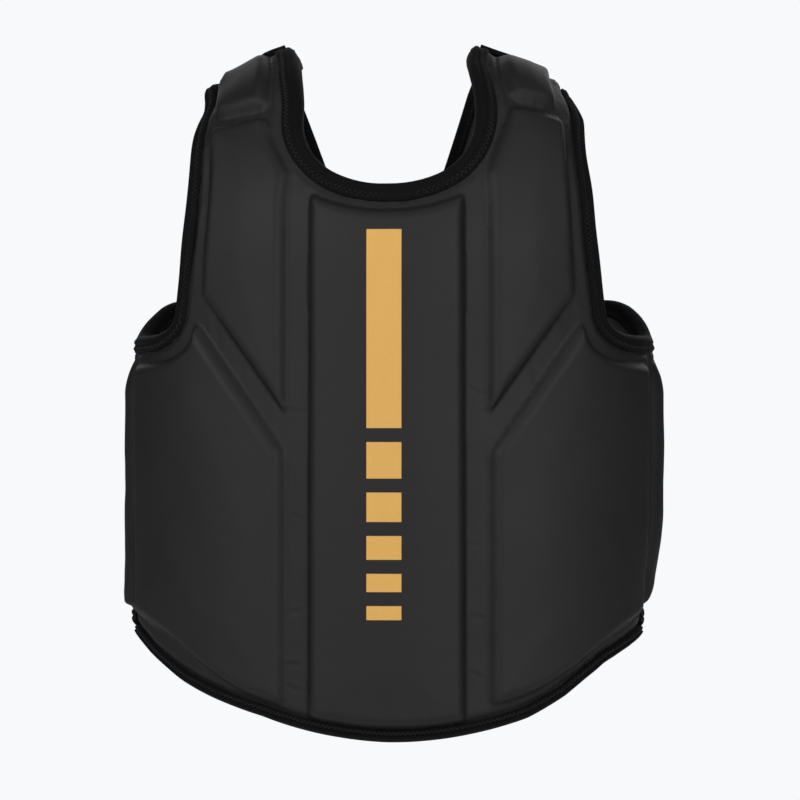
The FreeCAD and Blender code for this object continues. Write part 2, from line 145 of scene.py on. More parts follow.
TURN_TABLE = np.linspace(-TAU, TAU, 4001)
GIRTH_STEPS = np.hypot((HALF_WIDTH + RIM) * np.cos(TURN_TABLE),
                       (HALF_DEPTH + RIM) * np.sin(TURN_TABLE))
GIRTH_TABLE = np.concatenate([[0], np.cumsum((GIRTH_STEPS[1:] + GIRTH_STEPS[:-1]) / 2)])
GIRTH_TABLE = (GIRTH_TABLE - GIRTH_TABLE[2000]) * (TURN_TABLE[1] - TURN_TABLE[0])


def wrap(girth, climb, offset):
    """Point at a distance round the torso from the front centre, at a height measured up its surface."""
    turn = np.interp(girth, GIRTH_TABLE, TURN_TABLE)
    rise = np.clip((climb - DOME_BASE) / DOME_RISE, 0, None)
    east, south, up = np.sin(turn) * np.cos(rise), -np.cos(turn) * np.cos(rise), np.sin(rise)

    def place(offset):
        height = np.where(rise > 0, DOME_BASE + (DOME_RISE + offset) * up, climb)
        return (HALF_WIDTH + offset) * east, (HALF_DEPTH + offset) * south, height

    x, y, z = place(offset + bulge(*place(RIM)))
    return np.stack([x + lean(x, y, z), y, z], axis=-1)


def girth_of(turn):
    return float(np.interp(turn, TURN_TABLE, GIRTH_TABLE))


# ---------------------------------------------------------------- outlines

def rounded(corners, radius, closed=True):
    """Polyline through corners in millimetres, each rounded to a radius, as points in metres."""
    points = np.array(corners, dtype=float)
    count = len(points)
    radii = [radius] * count if np.isscalar(radius) else radius
    line = []
    for index, corner in enumerate(points):
        if not closed and index in (0, count - 1):
            line.append(corner)
            continue
        before = points[index - 1] - corner
        after = points[(index + 1) % count] - corner
        reach_before, reach_after = np.linalg.norm(before), np.linalg.norm(after)
        before, after = before / reach_before, after / reach_after
        half = math.acos(np.clip(before @ after, -1, 1)) / 2
        setback = min(radii[index] / math.tan(half), 0.48 * reach_before, 0.48 * reach_after)
        if setback < 0.05:
            line.append(corner)
            continue
        for step in range(7):
            part = step / 6
            line.append(corner + before * setback * (1 - part) ** 2 + after * setback * part ** 2)
    return np.array(line) * MM


def distances(line):
    """Distance along a line at each of its points."""
    return np.concatenate([[0], np.cumsum(np.linalg.norm(np.diff(line, axis=0), axis=1))])


def even_line(line, spacing, closed=False):
    """The same line with points at an even spacing."""
    if closed:
        line = np.vstack([line, line[:1]])
    along = distances(line)
    count = max(2, int(round(along[-1] / spacing)) + 1)
    places = np.linspace(0, along[-1], count)
    return np.stack([np.interp(places, along, line[:, axis]) for axis in range(line.shape[1])], axis=1)


def onto_front(line, side=-1):
    """Line of (x, z) points laid on the front of the torso, or on its back where side is 1; what lies
    above the top of the shoulders runs on level past it."""
    wide, deep, tall = HALF_WIDTH + RIM, HALF_DEPTH + RIM, DOME_RISE + RIM
    east = line[:, 0] / wide
    up = np.clip(line[:, 1] - DOME_BASE, 0, None) / tall
    left_over = 1 - east ** 2 - up ** 2
    past = (left_over < 0) & (np.abs(east) < 0.95)
    depth = side * deep * np.sqrt(np.clip(left_over, 0, None))
    across = line[:, 0] + lean(line[:, 0], depth, line[:, 1])
    laid = settle(np.stack([across, depth, line[:, 1]], axis=1), RIM)
    crest = DOME_BASE + tall * np.sqrt(np.clip(1 - east ** 2, 0, None))
    beyond = np.stack([across, np.full(len(line), -side * 60 * MM), crest], axis=1)
    return np.where(past[:, None], beyond, laid)


def onto_side(line):
    """Line of (y, z) points laid on the right side of the torso."""
    wide, deep = HALF_WIDTH + RIM, HALF_DEPTH + RIM
    width = wide * np.sqrt(np.clip(1 - (line[:, 0] / deep) ** 2, 0, None))
    return settle(np.stack([width, line[:, 0], line[:, 1]], axis=1), RIM)


def line_distance(points, line, closed=True):
    """Distance of each point to the nearest stretch of a line."""
    ends = np.roll(line, -1, axis=0) if closed else line[1:]
    starts = line if closed else line[:-1]
    nearest = np.full(len(points), 1e9)
    for start, end in zip(starts, ends):
        span = end - start
        along = np.clip((points - start) @ span / max(span @ span, 1e-12), 0, 1)
        gap = points - start - along[:, None] * span
        nearest = np.minimum(nearest, np.einsum("ij,ij->i", gap, gap))
    return np.sqrt(nearest)


def inside(points, line):
    """Which flat points lie inside a closed flat line."""
    result = np.zeros(len(points), dtype=bool)
    for start, end in zip(line, np.roll(line, -1, axis=0)):
        crosses = (start[1] > points[:, 1]) != (end[1] > points[:, 1])
        rise = end[1] - start[1] if end[1] != start[1] else 1e-12
        meet = start[0] + (points[:, 1] - start[1]) * (end[0] - start[0]) / rise
        result ^= crosses & (points[:, 0] < meet)
    return result


class Shape:
    """A closed outline on the torso: seen from the front, the back or the right side."""

    def __init__(self, corners, radius, view="front"):
        self.flat = even_line(rounded(corners, radius), 6 * MM, closed=True)
        lay = {"front": onto_front, "back": lambda line: onto_front(line, 1), "side": onto_side}[view]
        self.solid = lay(self.flat)
        self.axes = (1, 2) if view == "side" else (0, 2)

    def depth(self, points):
        """How far inside the outline each surface point is; negative outside."""
        distance = line_distance(points, self.solid)
        within = inside(upright(points)[:, self.axes], self.flat)
        return np.where(within, distance, -distance)


def mirror(corners):
    return [(-x, z) for x, z in reversed(corners)]


HEM_RADIUS = 280
PANEL_REACH = 205
HEM_SWAY = [(-186, 0), (-172, -3), (-150, -3.5), (-115, 0), (-90, 2.2), (-35, 1.2), (0, 0), (60, -0.8),
            (100, -2.2), (126, 0.8), (140, 4.6), (155, 7), (168, 5), (186, 0)]


def hem_height(across, lift=0):
    """Height of the hem's arc, or of an arc lift above it, in millimetres, with the sway of soft edges."""
    sway = np.interp(across, *zip(*HEM_SWAY))
    return float(HEM_RADIUS - math.sqrt((HEM_RADIUS - lift) ** 2 - across ** 2) + sway)


def bend(start, end, radius, count=8):
    """Arc from start to end in millimetres that turns left on its way."""
    start, end = np.array(start), np.array(end)
    chord = end - start
    left = np.array([-chord[1], chord[0]]) / np.linalg.norm(chord)
    centre = (start + end) / 2 + left * math.sqrt(radius ** 2 - chord @ chord / 4)
    first, last = (math.atan2(*(point - centre)[::-1]) for point in (start, end))
    return [(centre[0] + radius * math.cos(turn), centre[1] + radius * math.sin(turn))
            for turn in np.linspace(first, last, count)]


def hem_arc(first, last, lift, count=9):
    return [(x, hem_height(x, lift)) for x in np.linspace(first, last, count)]


NECK_HALF = (bend((0, 398), (42, 408.4), 80) + bend((42, 408.4), (64.8, 449.3), 48)[1:]
             + [(64.6, 470), (62.5, 530)])
ARM_EDGE = [(116, 490), (126, 467.5), (135, 458), (140, 447), (153.7, 313.6), (155, 303), (161, 295.5),
            (170, 291), (180, 290)]

PANEL_CORNERS = (hem_arc(-PANEL_REACH, PANEL_REACH, 0, 25) + [(PANEL_REACH, 290)] + ARM_EDGE[::-1]
                 + NECK_HALF[::-1] + [(-x, z) for x, z in NECK_HALF[1:]]
                 + [(-x, z) for x, z in ARM_EDGE] + [(-PANEL_REACH, 290)])
CENTRE_PAD = (hem_arc(-55.8, 55.8, 7, 9)
              + [(55, 393)] + [(x, 503 - math.sqrt(123 ** 2 - x ** 2)) for x in np.linspace(45, -45, 7)]
              + [(-55, 393)])
CHEST_PAD = [(69.4, 229.8), (131.2, 319.5), (124.8, 441.5), (85, 450), (81, 434), (67, 405), (69, 386)]
RIB_PAD = (hem_arc(70.4, 192, 14, 9) + [(192, 271.5), (176, 271.5), (160, 273.5), (150, 277.5), (141, 285),
                                        (136, 304), (70.4, 208)])
RIGHT_SHOULDER_PAD = [(84.4, 458.5), (120, 453), (116, 466), (110.5, 480), (104, 530), (78, 530),
                      (80.5, 493)]
LEFT_SHOULDER_PAD = [(-84.2, 452.5), (-81.5, 490), (-78, 530), (-112, 530), (-121, 475),
                     (-125.5, 462), (-125, 444.8)]


# ---------------------------------------------------------------- sheets of material

def flat_grid(name, across, along):
    """A new flat grid, and the vertex numbers of its points, row by row."""
    bpy.ops.object.select_all(action="DESELECT")
    bpy.ops.mesh.primitive_grid_add(x_subdivisions=across, y_subdivisions=along, size=1, location=(0, 0, 0))
    piece = bpy.context.object
    piece.name = piece.data.name = name
    places = np.empty(len(piece.data.vertices) * 3, dtype=np.float32)
    piece.data.vertices.foreach_get("co", places)
    places = places.reshape(-1, 3)
    columns = np.rint((places[:, 0] + 0.5) * across).astype(int)
    rows = np.rint((places[:, 1] + 0.5) * along).astype(int)
    order = np.empty(len(places), dtype=int)
    order[rows * (across + 1) + columns] = np.arange(len(places))
    return piece, order


def spread(order, values):
    """Values given row by row, arranged by vertex number."""
    arranged = np.empty_like(values)
    arranged[order] = values
    return arranged


def write_points(piece, points):
    piece.data.vertices.foreach_set("co", np.asarray(points, dtype=np.float32).ravel())
    piece.data.update()


def write_values(piece, name, values):
    layer = piece.data.attributes.new(name, "FLOAT", "POINT")
    layer.data.foreach_set("value", np.asarray(values, dtype=np.float32).ravel())


def read_values(piece, name):
    values = np.empty(len(piece.data.vertices), dtype=np.float32)
    piece.data.attributes[name].data.foreach_get("value", values)
    return values.astype(float)


def lay_out_map(piece, across, along):
    """UV map in metres from a pair of distances held by each vertex."""
    corners = np.empty(len(piece.data.loops), dtype=int)
    piece.data.loops.foreach_get("vertex_index", corners)
    places = np.stack([across[corners], along[corners]], axis=1)
    piece.data.uv_layers.active.data.foreach_set("uv", places.astype(np.float32).ravel())


def selected_vertices(piece):
    chosen = np.empty(len(piece.data.vertices), dtype=bool)
    piece.data.vertices.foreach_get("select", chosen)
    return chosen


def select(piece, chosen):
    """Select the chosen vertices and nothing else."""
    mesh = piece.data
    for parts in (mesh.polygons, mesh.edges):
        parts.foreach_set("select", np.zeros(len(parts), dtype=bool))
    mesh.vertices.foreach_set("select", chosen)


def edit(piece, action, chosen=None, **settings):
    """One edit-mode operator on the chosen vertices of a piece, or on all of them."""
    select(piece, np.ones(len(piece.data.vertices), dtype=bool) if chosen is None else chosen)
    bpy.context.view_layer.objects.active = piece
    bpy.ops.object.mode_set(mode="EDIT")
    bpy.ops.mesh.select_mode(type="VERT")
    action(**settings)
    bpy.ops.object.mode_set(mode="OBJECT")


def finish_faces(piece, angle=50):
    """Faces outwards and smooth shading up to an angle."""
    edit(piece, bpy.ops.mesh.normals_make_consistent, inside=False)
    bpy.ops.object.select_all(action="DESELECT")
    piece.select_set(True)
    bpy.ops.object.shade_smooth_by_angle(angle=math.radians(angle))


def gather_on_lines(girth, climb, fields):
    """Move one grid point of each row or column that crosses a line onto it, and even out those around."""
    girth_step = girth[0, 1] - girth[0, 0]
    climb_step = climb[1, 0] - climb[0, 0]
    nearest = np.full(girth.shape, 1e9)
    moved_girth, moved_climb = girth.copy(), climb.copy()
    points = wrap(girth, climb, RIM).reshape(-1, 3)
    for field in fields:
        depth = field(points).reshape(girth.shape)
        up, across = np.gradient(depth)
        sideways = np.abs(across) >= np.abs(up)
        slope = np.where(sideways, across, up)
        slope = np.where(np.abs(slope) < 1e-7, 1e-7, slope)
        away = np.abs(depth / slope)
        closer = (away <= 0.5) & (away < nearest)
        moved_girth = np.where(closer, girth - sideways * depth / slope * girth_step, moved_girth)
        moved_climb = np.where(closer, climb - ~sideways * depth / slope * climb_step, moved_climb)
        nearest = np.where(away < nearest, away, nearest)
    pinned = nearest <= 0.5
    near = (nearest < 3.5) & ~pinned
    near[[0, -1]] = near[:, [0, -1]] = False
    for _ in range(8):
        for moved in (moved_girth, moved_climb):
            middle = (moved[:-2, 1:-1] + moved[2:, 1:-1] + moved[1:-1, :-2] + moved[1:-1, 2:]) / 4
            moved[1:-1, 1:-1] = np.where(near[1:-1, 1:-1], middle, moved[1:-1, 1:-1])
    return moved_girth, moved_climb


def softened(values):
    """Grid values evened out a little with their neighbours."""
    result = values.copy()
    for axis in (0, 1):
        ahead = np.take(result, range(2, result.shape[axis]), axis)
        behind = np.take(result, range(result.shape[axis] - 2), axis)
        middle = np.moveaxis(result, axis, 0)
        middle[1:-1] = middle[1:-1] * 0.6 + np.moveaxis(ahead + behind, axis, 0) * 0.2
    return result


TRIM = 0.22  # share of a grid step by which a point may lie outside the outline


def wrapped_sheet(name, girths, climbs, step, back, lift, edge=None, creases=()):
    """Closed slab round the torso. back and lift give its inner and outer offsets at surface points; edge
    gives each point's depth inside the outline, and creases are lines that the grid follows."""
    across = max(2, round((girths[1] - girths[0]) / step))
    along = max(2, round((climbs[1] - climbs[0]) / step))
    piece, order = flat_grid(name, across, along)
    girth, climb = np.meshgrid(np.linspace(*girths, across + 1), np.linspace(*climbs, along + 1))
    fields = ([edge] if edge else []) + list(creases)
    if fields:
        girth, climb = gather_on_lines(girth, climb, fields)
    points = wrap(girth, climb, RIM).reshape(-1, 3)
    outer_offset = softened(lift(points).reshape(girth.shape))
    for label, values in (("girth", girth), ("climb", climb), ("back", back(points)),
                          ("lift", outer_offset)):
        write_values(piece, label, spread(order, values.ravel()))
    lay_out_map(piece, read_values(piece, "girth"), read_values(piece, "climb"))
    if edge:
        edit(piece, bpy.ops.mesh.delete, spread(order, edge(points) < -TRIM * step), type="VERT")
        edit(piece, bpy.ops.mesh.delete_loose)
    edit(piece, bpy.ops.mesh.extrude_region)
    outer = selected_vertices(piece)
    offset = np.where(outer, read_values(piece, "lift"), read_values(piece, "back"))
    write_points(piece, wrap(read_values(piece, "girth"), read_values(piece, "climb"), offset))
    for label in ("girth", "climb", "back", "lift"):
        piece.data.attributes.remove(piece.data.attributes[label])
    edit(piece, bpy.ops.mesh.quads_convert_to_tris, quad_method="SHORTEST_DIAGONAL")
    finish_faces(piece)
    return piece


def wave_field(points, length, seed, count=7):
    """Soft, even unevenness between about -1 and 1, with bumps of about a length across."""
    draw = np.random.default_rng(seed)
    total = np.zeros(len(points))
    for _ in range(count):
        direction = draw.normal(size=3)
        direction *= TAU / length / np.linalg.norm(direction) * draw.uniform(0.7, 1.3)
        total += np.sin(points @ direction + draw.uniform(0, TAU))
    return total / math.sqrt(count)


def steady(value):
    return lambda points: np.full(len(points), float(value))


# ---------------------------------------------------------------- tape and thread

def edge_frames(path, depth_inside):
    """Directions into the panel at each point of its edge; depth_inside tells which side is the panel."""
    tangent = np.gradient(path, axis=0)
    inward = np.cross(surface_normal(path), tangent)
    inward /= np.linalg.norm(inward, axis=1, keepdims=True)
    middle = slice(len(path) // 3, -len(path) // 3)
    test = settle((path + 4 * MM * inward)[middle], RIM)
    if np.mean(depth_inside(test)) < 0:
        inward = -inward
    return inward


def swept_edge(name, path, depth_inside, profile, wander=0.0, seed=1, rise=None):
    """Closed strip swept along a panel's edge; profile pairs a distance into the panel with an offset,
    and rise gives what is added to the offset of its outer face at points of the path."""
    inward = edge_frames(path, depth_inside)
    profile = np.array(profile) * MM
    count = len(profile)
    piece, order = flat_grid(name, count, len(path) - 1)
    ring = np.vstack([profile, profile[:1]])
    rough = path[:, None, :] + inward[:, None, :] * ring[None, :, :1]
    offset = np.repeat(ring[None, :, 1], len(path), axis=0)
    if wander:
        drift = wave_field(path, 45 * MM, seed) * wander
        offset = offset + drift[:, None] * np.sign(ring[None, :, 1] - RIM)
    if rise:
        offset = offset + rise(path)[:, None] * smooth(ring[None, :, 1], RIM, 10 * MM)
    write_points(piece, spread(order, settle(rough.reshape(-1, 3), offset.ravel())))
    lay_out_map(piece, spread(order, np.repeat(distances(path), count + 1)),
                spread(order, np.tile(distances(ring), len(path))))
    close_tube(piece, 1e-6, 60)
    return piece


def close_tube(piece, gap, angle):
    """Join a swept strip where it meets itself, cap its open ends and finish its faces."""
    edit(piece, bpy.ops.mesh.remove_doubles, threshold=gap)
    bpy.ops.object.mode_set(mode="EDIT")
    bpy.ops.mesh.select_mode(type="EDGE")
    bpy.ops.mesh.select_all(action="DESELECT")
    bpy.ops.mesh.select_non_manifold()
    bpy.ops.mesh.fill()
    bpy.ops.object.mode_set(mode="OBJECT")
    finish_faces(piece, angle)


STITCH_PITCH = 3.4 * MM
STITCH_STEPS = 6
THREAD_RADIUS = 0.42 * MM
THREAD_SIDES = 6


def thread_line(name, path, depth_inside, depth, offset, swing, rise=None):
    """Zigzag stitching along an edge: a thread that swings to both sides and dips under the cloth."""
    path = even_line(path, STITCH_PITCH / STITCH_STEPS)
    inward = edge_frames(path, depth_inside)
    phase = TAU * distances(path) / STITCH_PITCH
    dip = THREAD_RADIUS * np.cos(2 * phase)
    piece, order = flat_grid(name, THREAD_SIDES, len(path) - 1)
    angles = np.linspace(0, TAU, THREAD_SIDES + 1)
    zigzag = swing * 2 / math.pi * np.arcsin(0.98 * np.sin(phase))
    across = depth + zigzag[:, None] + THREAD_RADIUS * 1.25 * np.cos(angles)[None, :]
    rough = path[:, None, :] + inward[:, None, :] * across[:, :, None]
    lift = offset + dip[:, None] + THREAD_RADIUS * np.sin(angles)[None, :]
    if rise:
        lift = lift + rise(path)[:, None]
    write_points(piece, spread(order, settle(rough.reshape(-1, 3), lift.ravel())))
    close_tube(piece, 1e-7, 80)
    return piece


# ---------------------------------------------------------------- materials

class Value:
    """A number or colour in a material, with arithmetic that adds Math nodes."""

    def __init__(self, graph, socket):
        self.graph = graph
        self.socket = socket

    def math(self, operation, *others):
        return self.graph.node("ShaderNodeMath", {"operation": operation}, self, *others)

    def __add__(self, other):
        return self.math("ADD", other)

    def __mul__(self, other):
        return self.math("MULTIPLY", other)

    def above(self, limit):
        return self.math("GREATER_THAN", limit)

    def below(self, limit):
        return self.math("LESS_THAN", limit)

    def size(self):
        return self.math("ABSOLUTE")

    def wave(self, length):
        """Sine of this distance with a wave of a length."""
        return (self * (TAU / length)).math("SINE")

    __radd__ = __add__
    __rmul__ = __mul__


class Material:
    """One node material around a single Principled surface."""

    def __init__(self, name, color, roughness, **settings):
        self.made = bpy.data.materials.new(name)
        self.made.use_nodes = True
        self.tree = self.made.node_tree
        self.surface = self.tree.nodes["Principled BSDF"]
        self.surface.inputs["Base Color"].default_value = (*color, 1)
        self.surface.inputs["Roughness"].default_value = roughness
        for label, value in settings.items():
            self.surface.inputs[label.replace("_", " ")].default_value = value
        self.made.diffuse_color = (*color, 1)

    def node(self, kind, settings, *inputs, output=0, **named):
        """A node with its settings, then the values or links of its sockets; gives one output."""
        made = self.tree.nodes.new(kind)
        for label, value in settings.items():
            setattr(made, label, value)
        for index, value in list(enumerate(inputs)) + list(named.items()):
            socket = made.inputs[index] if isinstance(index, int) else made.inputs[index.replace("_", " ")]
            if isinstance(value, Value):
                self.tree.links.new(value.socket, socket)
            elif value is not None:
                socket.default_value = value
        return Value(self, made.outputs[output])

    def place(self):
        """Object coordinates."""
        return self.node("ShaderNodeTexCoord", {}, output="Object")

    def map(self):
        """The piece's own UV map, in metres."""
        return self.node("ShaderNodeTexCoord", {}, output="UV")

    def part(self, vector, axis):
        return self.node("ShaderNodeSeparateXYZ", {}, vector, output=axis)

    def threads(self, axis, length):
        """Waves of a length along an axis of the piece's own map."""
        return self.part(self.map(), axis).wave(length)

    def noise(self, vector, length, detail=3.0):
        return self.node("ShaderNodeTexNoise", {}, Vector=vector, Scale=1 / length, Detail=detail,
                         Roughness=0.55)

    def cells(self, vector, length):
        return self.node("ShaderNodeTexVoronoi", {}, Vector=vector, Scale=1 / length, output="Distance")

    def mixed(self, factor, first, second):
        """Colour between two colours or links."""
        made = self.tree.nodes.new("ShaderNodeMix")
        made.data_type = "RGBA"
        for index, value in ((0, factor), (6, first), (7, second)):
            if isinstance(value, Value):
                self.tree.links.new(value.socket, made.inputs[index])
            else:
                made.inputs[index].default_value = value if index == 0 else (*value, 1)
        return Value(self, made.outputs[2])

    def drive(self, label, value):
        self.tree.links.new(value.socket, self.surface.inputs[label])

    def tint(self, factor, first, second):
        """Base colour between two colours."""
        self.drive("Base Color", self.mixed(factor, first, second))

    def bump(self, height, distance, strength=1.0):
        """Fine relief from a height between 0 and 1 that stands for a distance."""
        relief = self.node("ShaderNodeBump", {}, Strength=strength, Distance=distance, Height=height)
        self.drive("Normal", relief)


BLACK_LEATHER = (0.0105, 0.0102, 0.0104)
WORN_LEATHER = (0.0135, 0.0130, 0.0132)
GOLD = (0.78, 0.435, 0.106)
PALE_GOLD = (0.83, 0.475, 0.122)


def leather(name, gold=None):
    """Satin synthetic leather with a fine pebble grain; gold gives the mask of a printed design."""
    made = Material(name, BLACK_LEATHER, 0.5, Specular_IOR_Level=0.32)
    place = made.place()
    patches = made.noise(place, 60 * MM, 2.0)
    grain = made.cells(place, 0.9 * MM)
    fine = made.noise(place, 0.7 * MM, 2.0)
    pores = made.noise(place, 3.0 * MM, 3.0)
    color = made.mixed(patches, BLACK_LEATHER, WORN_LEATHER)
    roughness = 0.46 + patches * 0.10 + pores * 0.06
    height = grain * 0.55 + fine * 0.3 + pores * 0.4
    if gold:
        mask = gold(made, place)
        speck = made.noise(place, 1.2 * MM, 2.0)
        color = made.mixed(mask, color, made.mixed(speck, GOLD, PALE_GOLD))
    made.drive("Base Color", color)
    made.drive("Roughness", roughness)
    made.bump(height, 0.11 * MM, 0.55)
    return made.made


STRIPE_HALF_WIDTH = 12.5 * MM
STRIPE_BOTTOM = 224 * MM
STRIPE_TOP = 366 * MM
BAR_HEIGHTS = (26, 21, 17, 13, 10)
BAR_GAP = 10


def gold_design(made, place):
    """A plain stripe down the centre pad, and shorter bars below it."""
    across = (made.part(place, "X") + 1.5 * MM).size()
    height = made.part(place, "Z")
    front = made.part(place, "Y").below(0.0)
    mask = height.above(STRIPE_BOTTOM) * height.below(STRIPE_TOP)
    top = STRIPE_BOTTOM / MM
    for bar in BAR_HEIGHTS:
        top -= BAR_GAP
        mask = mask + height.below(top * MM) * height.above((top - bar) * MM)
        top -= bar
    return mask * across.below(STRIPE_HALF_WIDTH) * front


def woven_tape(name, color, rib=1.1 * MM):
    """Matte woven tape with fine ribs across it and threads along it."""
    made = Material(name, color, 0.78, Specular_IOR_Level=0.12, Sheen_Weight=0.03, Sheen_Roughness=0.4)
    ribs = made.threads("X", rib)
    threads = made.threads("Y", 0.9 * MM)
    fuzz = made.noise(made.place(), 1.1 * MM, 3.0)
    made.bump(0.5 + ribs * 0.22 + threads * 0.14 + fuzz * 0.35, 0.16 * MM, 0.8)
    tone = made.noise(made.place(), 9 * MM, 3.0)
    shade = tone * 0.5 + ribs * 0.12 + 0.2
    made.tint(shade, color, tuple(1.9 * part for part in color))
    return made.made


def lining_cloth(name):
    """Plain matte lining with a close weave."""
    color = (0.014, 0.014, 0.0155)
    made = Material(name, color, 0.85, Sheen_Weight=0.2, Sheen_Roughness=0.6)
    weave = made.threads("X", 0.9 * MM) * made.threads("Y", 0.9 * MM)
    folds = made.noise(made.place(), 18 * MM, 3.0)
    made.bump(0.5 + weave * 0.3 + folds * 0.5, 0.2 * MM, 0.7)
    made.tint(folds, color, (0.024, 0.024, 0.026))
    return made.made


def elastic_webbing(name):
    """Elastic with cords that run along the belt and a crimped weave between them."""
    color = (0.016, 0.016, 0.017)
    made = Material(name, color, 0.75, Sheen_Weight=0.2)
    cords = made.threads("Y", 2.4 * MM)
    crimp = made.threads("X", 1.0 * MM)
    made.bump(0.5 + cords * 0.34 + crimp * 0.14, 0.5 * MM, 0.9)
    made.tint(cords * 0.5 + 0.5, color, (0.03, 0.03, 0.032))
    return made.made


def pile_cloth(name, length, color, depth):
    """Loop or hook tape: a field of tiny bristles."""
    made = Material(name, color, 0.9, Sheen_Weight=0.4, Sheen_Roughness=0.4)
    place = made.place()
    bristles = made.cells(place, length)
    matted = made.noise(place, 7 * MM, 3.0)
    made.bump(bristles * 0.8 + matted * 0.4, depth, 1.0)
    made.tint(bristles + matted * 0.3, color, tuple(2.4 * part for part in color))
    return made.made


def thread(name):
    made = Material(name, (0.011, 0.011, 0.013), 0.7, Specular_IOR_Level=0.3)
    twist = made.noise(made.place(), 0.6 * MM, 2.0)
    made.bump(twist, 0.1 * MM, 0.6)
    return made.made


LEATHER = leather("black leather")
PRINTED_LEATHER = leather("black leather with gold print", gold_design)
EDGE_TAPE = woven_tape("woven edge tape", (0.0026, 0.0026, 0.0030))
WEBBING = woven_tape("closure webbing", (0.012, 0.012, 0.013), 1.6 * MM)
LINING_CLOTH = lining_cloth("lining cloth")
ELASTIC = elastic_webbing("elastic webbing")
HOOKS = pile_cloth("hook tape", 1.5 * MM, (0.015, 0.015, 0.016), 0.5 * MM)
LOOPS = pile_cloth("loop tape", 0.8 * MM, (0.012, 0.012, 0.013), 0.4 * MM)
THREAD = thread("sewing thread")


def dress(piece, material):
    """Give a piece its material."""
    piece.data.materials.clear()
    piece.data.materials.append(material)


def fit(piece, material, slot, hold, *solids):
    """Dress a piece, hold it on its body and let it stand for the solids it shows."""
    dress(piece, material)
    hold(piece)
    if solids:
        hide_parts(*solids)


def rides(body):
    return lambda piece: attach(piece, body)


LINING_BACK = 0.1 * MM
LINING_STEP = 4 * MM


def lining(name, girths, climbs, face, depth_inside, hold, solid):
    """Lining cloth behind a cover."""
    piece = wrapped_sheet(name, girths, climbs, LINING_STEP, steady(LINING_BACK), face, depth_inside)
    fit(piece, LINING_CLOTH, "lining_fabric", hold, solid)


def lining_face(seed):
    """Outer offset of a lining that is a little uneven."""
    return lambda points: LINING + 0.2 * MM * wave_field(points, 30 * MM, seed)


# ---------------------------------------------------------------- front panel

PANEL = Shape(PANEL_CORNERS, 0.0)
CENTRE = Shape(CENTRE_PAD, [3] * 9 + [5] + [2] * 7 + [5])
CHEST = Shape(CHEST_PAD, [2, 5, 6, 6, 18, 12, 20])
RIB = Shape(RIB_PAD, [5] + [3] * 7 + [9] + [6, 10, 12, 12, 14, 3, 8])
RIGHT_SHOULDER = Shape(RIGHT_SHOULDER_PAD, [5, 5, 20, 20, 3, 3, 20])
LEFT_SHOULDER = Shape(LEFT_SHOULDER_PAD, [5, 20, 3, 3, 20, 15, 5])
PAD_ROUNDING = 9.5 * MM
SHOULDER_DROP = 4.4 * MM

# widths of the tape's leaf in millimetres
NECK_TAPE = 13
ARM_TAPE = 11.3
HEM_TAPE = 7.5
YOKE_TAPE = 9


def folded_over(points):
    """Points with the left half folded onto the right; the left shoulder hangs a little lower."""
    across = upright(points)[:, 0]
    drop = SHOULDER_DROP * np.sign(across) * smooth(points[:, 2], 400 * MM, 440 * MM)
    shift = points[:, 0] - across
    return np.stack([np.abs(across) + shift, points[:, 1], points[:, 2] - drop], axis=1)


def seam_depth(points):
    """Distance in front of the side seam below the armhole and of the shoulder seam above it."""
    limit = np.where(points[:, 2] < SEAM_TURN_HEIGHT, SIDE_SEAM, SHOULDER_SEAM)
    return limit - points[:, 1]


def front_depth(points):
    return np.minimum(PANEL.depth(points), seam_depth(points))


def side_pads_depth(points):
    """Depth inside the nearest of the chest, rib and shoulder pads, on either side."""
    folded = folded_over(points)
    seam = seam_depth(points)
    chest = CHEST.depth(folded)
    rib = np.minimum(RIB.depth(folded), seam - 8 * MM)
    shoulder = np.where(points[:, 0] > 0, RIGHT_SHOULDER.depth(points), LEFT_SHOULDER.depth(points))
    shoulder = np.minimum(shoulder, 2.5 * seam + 2 * MM)
    return np.maximum(np.maximum(chest, rib), shoulder)


def pad_height(depth, rounding=PAD_ROUNDING, rise=PAD_RISE):
    """Moulded pad: a crease at its outline, a rounded shoulder and a slight crown."""
    part = np.clip(depth / rounding, 0, 1)
    shoulder = 1 - (1 - part) ** 2.1
    crown = 1.1 * MM * smooth(depth, rounding * 0.8, 42 * MM)
    crease = 2.6 * MM * np.exp(-(depth / (1.5 * MM)) ** 2)
    return rise * shoulder + crown - crease


WRINKLES = [
    # across, height, half length, tilt in degrees, depth, all in millimetres
    (-67, 54, 7, 12, 0.9), (-66, 37, 6, -8, 0.8), (-64, 92, 6, 20, 0.5), (63, 47, 6, -14, 0.7),
    (65, 88, 6, 8, 0.5), (62, 140, 5, 10, 0.4), (-62, 160, 5, -12, 0.4), (-63, 236, 6, 6, 0.5),
    (62, 250, 6, -9, 0.5), (-148, 366, 5, 4, 0.7), (-149, 347, 4, -12, 0.7), (-146, 322, 6, 14, 0.8),
    (148, 368, 5, -6, 0.7), (149, 340, 4, 10, 0.6),
]


def wrinkle_depth(points):
    """Small creases in the flat leather between the pads."""
    total = np.zeros(len(points))
    for across, height, reach, tilt, depth in WRINKLES:
        side_way, up_way = points[:, 0] - across * MM, points[:, 2] - height * MM
        turn = math.radians(tilt)
        along = side_way * math.cos(turn) + up_way * math.sin(turn)
        off = up_way * math.cos(turn) - side_way * math.sin(turn)
        off = off + 1.2 * MM * np.sin(along / (3.5 * MM))
        fade = np.exp(-(along / (reach * MM)) ** 2)
        total += depth * MM * fade * (np.exp(-(off / (1.1 * MM)) ** 2)
                                      - 0.5 * np.exp(-((off - 2.6 * MM) / (1.6 * MM)) ** 2))
    return total


